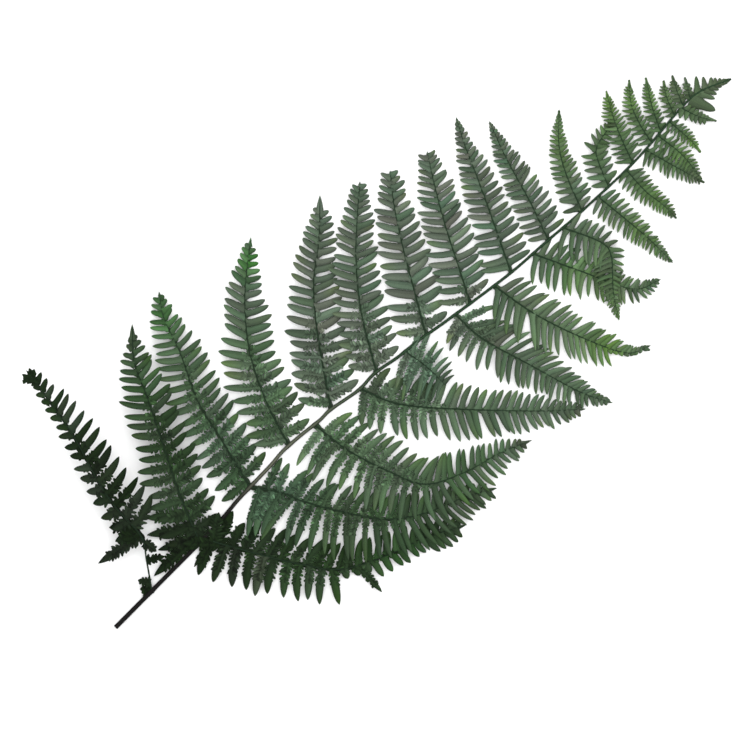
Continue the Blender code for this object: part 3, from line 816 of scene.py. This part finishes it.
def make_pinna(pinna, rachis, side, ribs, blade_material, seed):
    """One pinna: its pinnules as one piece, and its costa added to the ribs."""
    form = PinnaForm(pinna, rachis, side)
    route, length = form.route, form.length
    source = random.Random(seed)
    ripening = random.Random(seed)
    surface = Surface()
    last = length * LAST_PINNULE_SHARE
    count = pinna.pairs

    def station(index, first):
        share = min(max(index / count, 0.0), 1.0)
        return mix(first, last, (1 + CROWDING) * share - CROWDING * share ** 2)

    add_web(surface, form, source)
    for hand in (1, -1):
        first = pinna.bare * length
        if hand != side:
            first = max(first, form.root_height + FIRST_PINNULE_GAP * form.pitch)
        for index in range(count):
            offset = source.gauss(0, STATION_SPREAD) - HAND_OFFSET * (1 if hand == side else -1)
            room = station(index + 1, first) - station(index, first)
            distance = station(index + 0.5 + offset, first)
            share = distance / length
            if share > 1 - pinna.tip * (1 - TIP_OVERLAP):
                continue
            reach = form.reach(distance, hand) * math.exp(source.gauss(0, LENGTH_SPREAD))
            lean = form.lean(distance, hand) + source.gauss(0, LEAN_SPREAD)
            costa_heading = route.heading(distance)
            costa_angle = math.atan2(costa_heading.y, costa_heading.x)
            bow = BOW + source.gauss(0, BOW_SPREAD)
            heading = costa_angle + hand * math.radians(lean + bow / 2)
            root = route.point(distance)

            def height_at(x, y, root=root, costa=costa_heading, share=share):
                lateral = (y - root.y) * costa.x - (x - root.x) * costa.y
                ahead = (x - root.x) * costa.x + (y - root.y) * costa.y
                place = np.clip(share + ahead / length, 0.0, 1.0)
                return form.height(place, lateral)

            look = {"bow": bow * hand, "twist": source.gauss(0, TWIST_SPREAD), "crown": CROWN,
                    "lift": source.gauss(0, LIFT_SPREAD), "colour": tint_at(root, source)}
            usual = RIPE_ON_LEFT if side > 0 else RIPE_ON_RIGHT
            ripe = min(max(ripening.gauss(usual, RIPE_SPREAD), 0.0), 1.0)
            # Painted shade at the root of each pinnule, and the yellower tip it may have
            look.update(root_shade=PINNULE_ROOT_PAINTED_SHADE, tip_tint=mix(np.ones(3), RIPE_TINT, ripe))
            webbed = max(pinna.webbed, TIP_WEB * smooth_share(share, TIP_WEB_FROM, 1.0))
            shape = {"pitch": room * math.exp(source.gauss(0, PITCH_SPREAD)), "web": webbed * reach,
                     "sharp": pinna.sharp, "slim": pinna.slim}
            lobed_to = 0.0
            if share < pinna.lobed:
                lobed_to = LOBED_STRETCH * (1 - (share / pinna.lobed) ** LOBED_FADE)
            add_pinnule(surface, root, heading, reach, shape, height_at, look, source, lobed_to)

    tip_start = length * (1 - pinna.tip)
    end = route.point(tip_start)
    line = route.point(length) - end

    def tip_height_at(x, y):
        return np.full_like(x, form.costa_height(1 - pinna.tip / 2))

    look = {"bow": 0.0, "twist": 0.0, "crown": CROWN, "lift": 0.0, "colour": tint_at(end, source)}
    beside = (form.reach(tip_start, 1) + form.reach(tip_start, -1)) / 2
    half_width = min(beside, line.length * TIP_WIDTH_SHARE)
    shape = {"pitch": half_width / BLADE_WIDTH_SHARE, "web": 0.0, "sharp": TIP_SHARPNESS}
    add_pinnule(surface, end, math.atan2(line.y, line.x), line.length, shape, tip_height_at, look, source)
    rib_colour = linear(RIB_GREEN) * mix(RIB_BY_STIPE, 1.0, form.station / rachis.length)
    thickness = mix(SHORT_PINNA_COSTA, 1.0, min(length / LONG_PINNA, 1.0))
    add_tube(ribs, route, length * COSTA_END,
             lambda share: mix(COSTA_RADIUS, COSTA_TIP_RADIUS, share) * thickness,
             lambda share: form.costa_height(share) + COSTA_RISE, COSTA_SIDES,
             max(int(length / COSTA_STEP), LEAST_COSTA_RINGS), lambda share: rib_colour)
    add_stray_pinnules(surface, form, source)
    surface.build(f"pinna_{pinna.name}", blade_material)
    return form.station


def add_web(surface, form, source):
    """The narrow band of tissue along a costa that its pinnules spring from, darkened with painted shade."""
    start = max(form.pinna.bare - WEB_BEFORE_PINNULES, 0.0) * form.length
    rows = max(int((form.length - start) / WEB_STEP), LEAST_WEB_ROWS)
    upper = []
    for distance in np.linspace(start, form.length * COSTA_END, rows):
        share = distance / form.length
        centre, heading = form.route.point(distance), form.route.heading(distance)
        half_width = WEB_WIDTH * mix(1.0, WEB_WIDTH_AT_TIP, share)
        half_width *= 1 + source.uniform(-WEB_WIDTH_SPREAD, WEB_WIDTH_SPREAD)
        across = WEB_COLUMNS * half_width
        height = form.height(share, across) - WEB_SINK
        upper.append(np.stack([centre.x - heading.y * across, centre.y + heading.x * across,
                               np.maximum(height, BLADE_THICKNESS)], -1))
    upper = np.array(upper)
    count = len(WEB_COLUMNS)
    under_columns = [0, count // 2, count - 1]
    lower = upper[:, under_columns] - np.array([0, 0, BLADE_THICKNESS])
    along = np.broadcast_to(np.arange(rows)[:, None] * WEB_STEP / MM, (rows, count))
    places = np.stack([along, np.broadcast_to(WEB_COLUMNS * WEB_MARKINGS, (rows, count))], -1)
    # Painted shade: the web is coloured darker than the pinnules above it
    colour = tint_at(form.route.point(form.length * WEB_COLOUR_FROM), source) * WEB_PAINTED_SHADE
    surface.add(np.concatenate([upper.reshape(-1, 3), lower.reshape(-1, 3)]),
                sheet_faces(rows, count, COARSE_CAP), colour,
                np.concatenate([places.reshape(-1, 2), places[:, under_columns].reshape(-1, 2)]))


def add_stray_pinnules(surface, form, source):
    """The lone pinnules of a pinna, such as those along its petiole."""
    for owner, share, tip_pixel, width, rise in STRAY_PINNULES:
        if owner != form.pinna.name:
            continue
        root = form.route.point(share * form.length)
        line = plan_point(tip_pixel) - root
        height = form.costa_height(share)

        def height_at(x, y, root=root, height=height, slope=rise * MM / line.length):
            return height + slope * np.hypot(x - root.x, y - root.y)

        look = {"bow": 0.0, "twist": source.gauss(0, TWIST_SPREAD), "crown": CROWN, "lift": 0.0,
                "colour": tint_at(root, source)}
        shape = {"pitch": width * MM, "web": 0.0, "sharp": STRAY_SHARPNESS}
        add_pinnule(surface, root, math.atan2(line.y, line.x), line.length, shape, height_at, look,
                    source, STRAY_LOBED_TO)


def add_tube(surface, route, length, radius_at, height_at, sides, rings, colour_at, joints=()):
    """A round rib along a route. joints are distances where it swells, and with them it has a groove."""
    share = np.linspace(0, 1, rings)
    points, places, colours = [], [], []
    for part in share:
        colours.append(np.broadcast_to(colour_at(part), (sides, 3)))
        distance = length * part
        centre = route.point(distance)
        heading = route.heading(distance)
        radius = radius_at(part)
        swell = sum(math.exp(-((distance - joint) / JOINT_WIDTH) ** 2) for joint in joints)
        radius *= 1 + JOINT_SWELL * min(swell, 1.0)
        around = np.arange(sides) * 2 * math.pi / sides
        groove = 1 - (GROOVE_DEPTH * np.exp(-((around - math.pi / 2) / GROOVE_WIDTH) ** 2) if joints else 0)
        offset = np.cos(around) * radius * groove
        lift = np.sin(around) * radius * groove
        z = np.maximum(height_at(part) + lift, 0.0)
        points.append(np.stack([centre.x - heading.y * offset, centre.y + heading.x * offset, z], -1))
        places.append(np.stack([np.full(sides, distance / MM), around], -1))
    row, column = np.meshgrid(np.arange(rings - 1), np.arange(sides), indexing="ij")
    low = (row * sides + column).ravel()
    beside = (row * sides + (column + 1) % sides).ravel()
    faces = np.stack([low, low + sides, beside + sides, beside], -1)
    half = sides // 2
    step = np.arange(half - 1)
    cap = np.stack([step, step + 1, sides - 2 - step, sides - 1 - step], -1)
    last = (rings - 1) * sides
    faces = np.concatenate([faces, cap, last + cap[:, ::-1]])
    surface.add(np.concatenate(points), faces, np.concatenate(colours), np.concatenate(places))


def make_rachis(rachis, ribs, joints):
    """The stipe and rachis, black at the cut, then grey, and green towards the apex."""
    def colour_at(share):
        colour = mix(linear(STIPE_BLACK), linear(RACHIS_GREY), smooth_share(share, *STIPE_TO_GREY))
        return mix(colour, linear(RIB_GREEN), smooth_share(share, *GREY_TO_GREEN))

    add_tube(ribs, rachis, rachis.length, rachis_radius, rachis_radius, RACHIS_SIDES, RACHIS_RINGS,
             colour_at, joints)


def make_leaflets(blade_material):
    """The simple leaflets that crowd together at the apex."""
    surface = Surface()
    source = random.Random(LEAFLET_SEED)
    base_height = rachis_radius(1.0) + SOLID_THICKNESS / 2
    for root_pixel, tip_pixel, width in LEAFLETS:
        root = plan_point(root_pixel)
        line = plan_point(tip_pixel) - root
        look = {"bow": 0.0, "twist": source.gauss(0, LEAFLET_TWIST_SPREAD), "crown": CROWN,
                "lift": LEAFLET_LIFT, "colour": tint_at(root, source)}
        form = {"pitch": width * MM / (2 * BLADE_WIDTH_SHARE), "web": line.length * LEAFLET_WEB,
                "sharp": LEAFLET_SHARPNESS}
        add_pinnule(surface, root, math.atan2(line.y, line.x), line.length, form,
                    lambda x, y: np.full_like(x, base_height), look, source)
    surface.build("apex_leaflets", blade_material)


def node_maker(material):
    """Give a material nodes: returns its tree, its shader and a function that adds a node to it."""
    material.use_nodes = True
    tree = material.node_tree

    def add(kind, links=None, **settings):
        node = tree.nodes.new(kind)
        for name, value in settings.items():
            setattr(node, name, value)
        for key, value in (links or {}).items():
            if isinstance(value, bpy.types.NodeSocket):
                tree.links.new(value, node.inputs[key])
            else:
                node.inputs[key].default_value = value
        return node
    return tree, tree.nodes["Principled BSDF"], add


def ranged(add, value, source, target):
    """Take a value's source range onto a target range."""
    return add("ShaderNodeMapRange", {"Value": value, "From Min": source[0], "From Max": source[1],
                                      "To Min": target[0], "To Max": target[1]}).outputs[0]


def times(add, first, second, kind="ShaderNodeMath"):
    return add(kind, {0: first, 1: second}, operation="MULTIPLY").outputs[0]


def blade_surface():
    """Preserved leaf tissue: satin, mottled, with a pale midvein and fine slanting side veins, painted shade
    along its edges and painted light on one half.
    """
    material = bpy.data.materials.new("frond_green")
    tree, shader, add = node_maker(material)
    tint = add("ShaderNodeVertexColor", layer_name="tint").outputs[0]
    place = add("ShaderNodeUVMap", uv_map="pinnule").outputs[0]
    along, across, _ = add("ShaderNodeSeparateXYZ", {0: place}).outputs
    away = add("ShaderNodeMath", {0: across}, operation="ABSOLUTE").outputs[0]
    slant = add("ShaderNodeMath", {0: away, 1: SIDE_VEIN_SLANT, 2: along}, operation="MULTIPLY_ADD")
    ripple = times(add, slant.outputs[0], SIDE_VEIN_RATE)
    veins = add("ShaderNodeMath", {0: ripple}, operation="SINE").outputs[0]
    fine = add("ShaderNodeTexNoise", FINE_NOISE).outputs[0]
    broad = add("ShaderNodeTexNoise", BROAD_NOISE).outputs[0]
    shade = times(add, ranged(add, fine, NOISE_RANGE, FINE_MOTTLE),
                  ranged(add, broad, NOISE_RANGE, BROAD_MOTTLE))
    lit = times(add, tint, shade, "ShaderNodeVectorMath")
    vein_colour = times(add, lit, MIDVEIN_TINT, "ShaderNodeVectorMath")
    with_vein = add("ShaderNodeMix", {"Factor": ranged(add, away, MIDVEIN_EDGE, MIDVEIN_SHARE), 6: lit,
                                      7: vein_colour}, data_type="RGBA").outputs[2]
    # Painted shade towards the edges, and painted light making one half lighter than the other
    relit = times(add, ranged(add, away, EDGE_PAINTED_SHADE_REACH, EDGE_PAINTED_SHADE), ranged(add, across, PAINTED_HALVES_ACROSS, PAINTED_HALVES_LIGHT))
    coloured = times(add, with_vein, relit, "ShaderNodeVectorMath")
    relief = add("ShaderNodeMath", {0: veins, 1: SIDE_VEIN_RELIEF, 2: fine}, operation="MULTIPLY_ADD")
    bump = add("ShaderNodeBump", {**BLADE_BUMP, "Height": relief.outputs[0]})
    tree.links.new(coloured, shader.inputs["Base Color"])
    tree.links.new(ranged(add, fine, NOISE_RANGE, BLADE_ROUGHNESS), shader.inputs["Roughness"])
    tree.links.new(bump.outputs[0], shader.inputs["Normal"])
    shader.inputs["Specular IOR Level"].default_value = BLADE_SPECULAR
    return material


def stalk_surface():
    """Dark woody stalk with fine lengthwise lines, painted lighter along its top and darker down its sides.
    """
    material = bpy.data.materials.new("stalk_dark")
    tree, shader, add = node_maker(material)
    tint = add("ShaderNodeVertexColor", layer_name="tint").outputs[0]
    place = add("ShaderNodeUVMap", uv_map="pinnule").outputs[0]
    stretched = times(add, place, LINE_STRETCH, "ShaderNodeVectorMath")
    lines = add("ShaderNodeTexNoise", {"Vector": stretched, **LINE_NOISE}).outputs[0]
    brightness = ranged(add, lines, NOISE_RANGE, LINE_SHADE)
    # Painted light and shade by the place around the stalk: lighter on top, darker down the sides
    around = add("ShaderNodeSeparateXYZ", {0: place}).outputs[1]
    turn = add("ShaderNodeMath", {0: around, 1: math.pi / 2}, operation="SUBTRACT").outputs[0]
    side = add("ShaderNodeMath", {0: turn}, operation="ABSOLUTE").outputs[0]
    relit = times(add, ranged(add, side, STALK_PAINTED_SIDE_RANGE, STALK_PAINTED_SIDE_SHADE), brightness)
    coloured = times(add, tint, relit, "ShaderNodeVectorMath")
    bump = add("ShaderNodeBump", {**STALK_BUMP, "Height": lines})
    tree.links.new(coloured, shader.inputs["Base Color"])
    tree.links.new(bump.outputs[0], shader.inputs["Normal"])
    shader.inputs["Roughness"].default_value = STALK_ROUGHNESS
    shader.inputs["Specular IOR Level"].default_value = STALK_SPECULAR
    return material


def make_frond():
    """Every pinna, then the rachis that carries them and the leaflets of the apex."""
    blade_material = blade_surface()
    rachis = Route([plan_point(pixel) for pixel in RACHIS_ROUTE])
    ribs = Surface()
    joints = []
    for side, pinnae in ((1, LEFT_PINNAE), (-1, RIGHT_PINNAE)):
        for index, pinna in enumerate(pinnae):
            seed = PINNA_SEED + index * 2 + (side > 0)
            joints.append(make_pinna(pinna, rachis, side, ribs, blade_material, seed))
    make_rachis(rachis, ribs, joints)
    make_leaflets(blade_material)
    ribs.build("rachis_and_costae", stalk_surface())


def make_floor():
    """The plain white ground that the frond lies on."""
    bpy.ops.mesh.primitive_plane_add(size=FLOOR_SIZE)
    floor = bpy.context.object
    floor.name = "floor"
    material = bpy.data.materials.new("white_floor")
    shader = node_maker(material)[1]
    shader.inputs["Base Color"].default_value = (FLOOR_COLOUR, FLOOR_COLOUR, FLOOR_COLOUR, 1)
    shader.inputs["Roughness"].default_value = FLOOR_ROUGHNESS
    shader.inputs["Specular IOR Level"].default_value = 0.0
    floor.data.materials.append(material)


def make_light():
    """Even white light all round, and one large lamp that gives soft shadows."""
    world = bpy.data.worlds.new("studio")
    world.use_nodes = True
    background = world.node_tree.nodes["Background"]
    background.inputs["Color"].default_value = (1, 1, 1, 1)
    background.inputs["Strength"].default_value = WORLD_STRENGTH
    bpy.context.scene.world = world
    lamp = bpy.data.lights.new("key", "AREA")
    lamp.energy = KEY_POWER
    lamp.size = KEY_SIZE
    key = bpy.data.objects.new("key", lamp)
    key.location = KEY_PLACE
    key.rotation_euler = (-Vector(KEY_PLACE)).to_track_quat("-Z", "Y").to_euler()
    bpy.context.scene.collection.objects.link(key)
    view = bpy.context.scene.view_settings
    view.view_transform = "Standard"
    view.look = "None"


def make_camera():
    """Straight above, turned so that the frond rises to the right as in the photograph."""
    middle = plan_point((PHOTO_SIZE / 2, PHOTO_SIZE / 2))
    data = bpy.data.cameras.new("camera")
    data.sensor_width = SENSOR_WIDTH
    data.lens = SENSOR_WIDTH * CAMERA_HEIGHT / (PHOTO_SIZE * pixel_size())
    camera = bpy.data.objects.new("camera", data)
    camera.location = (middle.x, middle.y, CAMERA_HEIGHT)
    rise = math.atan2(CUT_END[1] - APEX[1], APEX[0] - CUT_END[0])
    camera.rotation_euler = (0, 0, -rise)
    bpy.context.scene.collection.objects.link(camera)
    bpy.context.scene.camera = camera


make_camera()
make_light()
make_floor()
make_frond()
